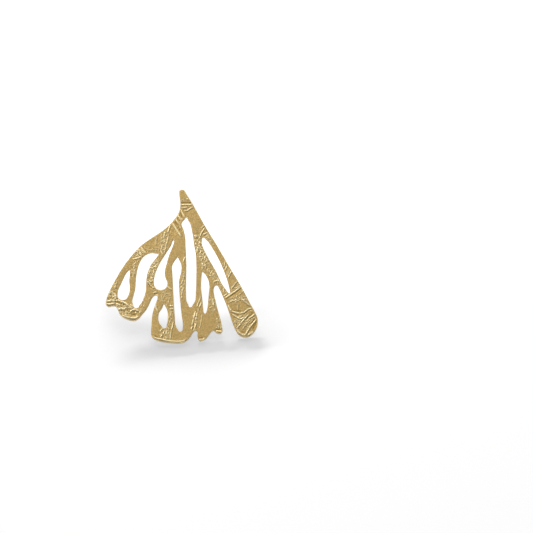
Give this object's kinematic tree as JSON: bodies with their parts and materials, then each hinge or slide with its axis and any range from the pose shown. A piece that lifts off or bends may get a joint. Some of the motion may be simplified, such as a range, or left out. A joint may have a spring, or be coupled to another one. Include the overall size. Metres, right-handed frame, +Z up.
{
  "type": "wing-shaped stud earring",
  "caption": "Flat wing-shaped stud earring in satin gilt metal, pierced with long slots, crinkled in relief, with a straight ear post on its back.",
  "frame": {"origin": "on the table, under the middle of the wing's box, as it lies face up on its post and lower edge", "axes": "+Z up from the table, +Y up the wing from its lobes towards its tip, +X from the far corner towards the strut"},
  "size_m": [0.0328, 0.0328, 0.0117],
  "materials": {
    "gilded_brass": "satin"
  },
  "bodies": {
    "root": {"wing": "gilded_brass"}
  },
  "joints": []
}
